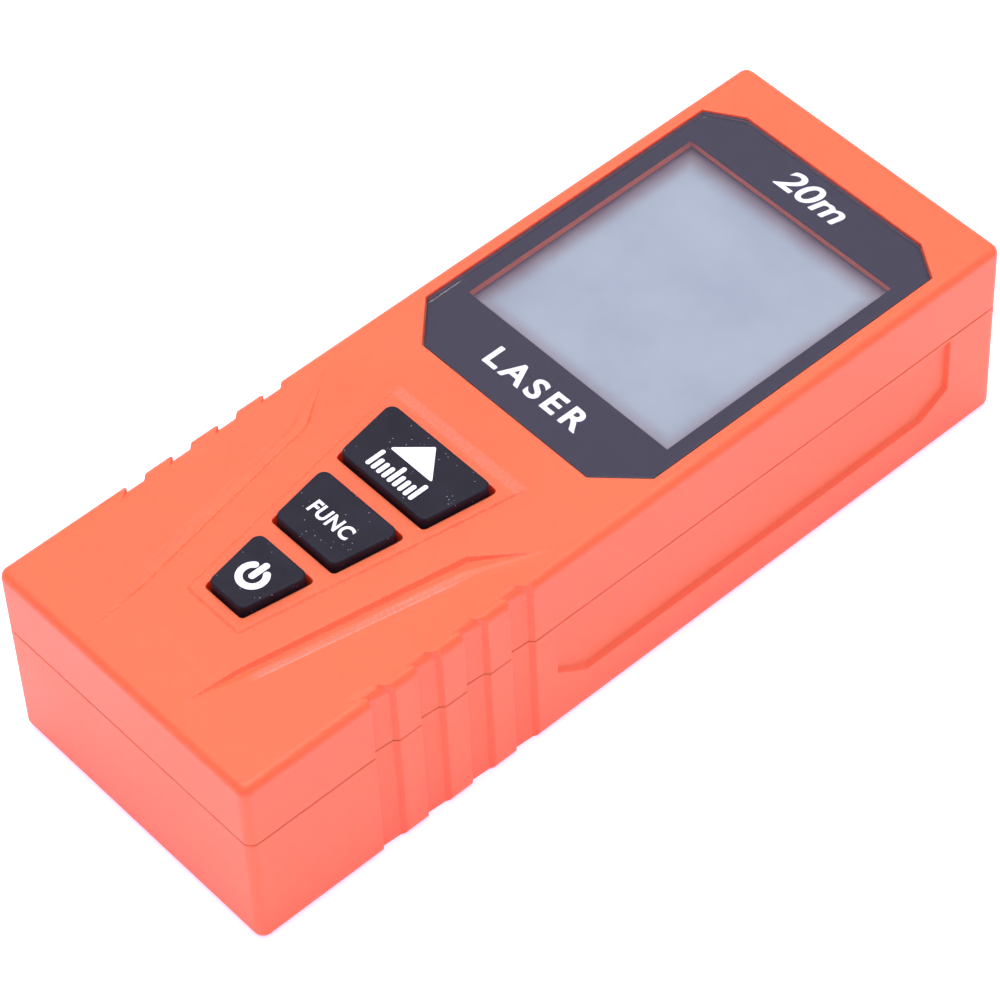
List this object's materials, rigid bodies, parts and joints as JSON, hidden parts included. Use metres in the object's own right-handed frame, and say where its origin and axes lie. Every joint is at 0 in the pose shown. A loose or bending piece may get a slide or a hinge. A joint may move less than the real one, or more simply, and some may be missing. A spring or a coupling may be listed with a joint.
{
  "type": "laser distance meter",
  "caption": "Pocket laser distance meter: orange two-part case with ribbed grips, octagonal display lens, tapering black key column, laser-end optics and a hinged battery door.",
  "frame": {"origin": "centre of the rear face's rectangle, on the surface that the device lies on", "axes": "+X to the right of a person reading the display, +Y toward the laser end, +Z out of the display"},
  "size_m": [0.0388, 0.105, 0.0262],
  "materials": {
    "orange_plastic": "fine satin grain, moulded orange ABS",
    "door_plastic": "fine satin grain, moulded orange ABS",
    "lens_clear": "clear polished acrylic lens",
    "lens_print": "black screen print on the back of the lens",
    "adhesive_tape": "double-sided tape",
    "polarizer_film": "satin polarizing film",
    "lcd_glass": "liquid crystal cell glass",
    "light_guide": "translucent light guide",
    "led_resin": "white side LEDs",
    "zebra_rubber": "layered elastomer connector",
    "frame_plastic": "pale moulded frame",
    "key_silicone": "satin black silicone",
    "mat_silicone": "satin black silicone",
    "carbon_pill": "carbon-filled contact",
    "board_green": "green solder mask",
    "chip_black": "moulded chip package",
    "buzzer_black": "moulded can",
    "screw_steel": "zinc plated",
    "contact_steel": "nickel plated spring steel",
    "bracket_plastic": "black glass-filled plastic",
    "optic_glass": "coated optical glass",
    "barrel_brass": "turned brass",
    "diode_metal": "gold plated can",
    "sensor_metal": "plated can",
    "shield_tin": "tinned sheet",
    "ribbon_film": "polyimide film",
    "panel_black": "satin black plastic",
    "window_red": "dark red filter",
    "window_clear": "clear window",
    "cell_sleeve": "plain grey sleeve over a metal can"
  },
  "bodies": {
    "housing": {"front_cover": "orange_plastic", "rear_cover": "orange_plastic", "display_lens": "lens_clear", "lens_mask": "lens_print", "lens_adhesive": "adhesive_tape", "lcd_front_polarizer": "polarizer_film", "lcd_rear_polarizer": "polarizer_film", "lcd_glass": "lcd_glass", "backlight_guide": "light_guide", "backlight_leds": "led_resin", "zebra_connector": "zebra_rubber", "lcd_frame": "frame_plastic", "keypad_mat": "mat_silicone", "main_board": "board_green", "receiver_board": "board_green", "processor_chip": "chip_black", "laser_driver_chip": "chip_black", "buzzer": "buzzer_black", "board_screws": "screw_steel", "bracket_screws": "screw_steel", "case_screws": "screw_steel", "optics_bracket": "bracket_plastic", "receiver_lens": "optic_glass", "collimator_lens": "optic_glass", "laser_barrel": "barrel_brass", "laser_diode": "diode_metal", "photodiode": "sensor_metal", "receiver_shield": "shield_tin", "optics_ribbon": "ribbon_film", "front_panel": "panel_black", "receiver_window": "window_red", "emitter_window": "window_clear", "battery_cell_left": "cell_sleeve", "battery_cell_right": "cell_sleeve", "bridge_contact": "contact_steel", "positive_contact": "contact_steel", "negative_contact": "contact_steel", "bridge_spring": "contact_steel", "negative_spring": "contact_steel"},
    "measure_key": {"measure_button": "key_silicone", "measure_contact_pill": "carbon_pill"},
    "func_key": {"func_button": "key_silicone", "func_contact_pill": "carbon_pill"},
    "power_key": {"power_button": "key_silicone", "power_contact_pill": "carbon_pill"},
    "door": {"battery_door": "door_plastic"}
  },
  "joints": [
    {"name": "measure_press", "type": "slide", "parent": "housing", "child": "measure_key", "axis": [0, 0, -1], "range_m": [0, 0.0007], "stiffness_N_per_m": 2200, "springref_m": -0.0003},
    {"name": "func_press", "type": "slide", "parent": "housing", "child": "func_key", "axis": [0, 0, -1], "range_m": [0, 0.0007], "stiffness_N_per_m": 2200, "springref_m": -0.0003},
    {"name": "power_press", "type": "slide", "parent": "housing", "child": "power_key", "axis": [0, 0, -1], "range_m": [0, 0.0007], "stiffness_N_per_m": 2200, "springref_m": -0.0003},
    {"name": "battery_door_hinge", "type": "hinge", "parent": "housing", "child": "door", "pos_m": [0, 0.0005, 0.00105], "axis": [1, 0, 0], "range_deg": [0, 85]}
  ]
}
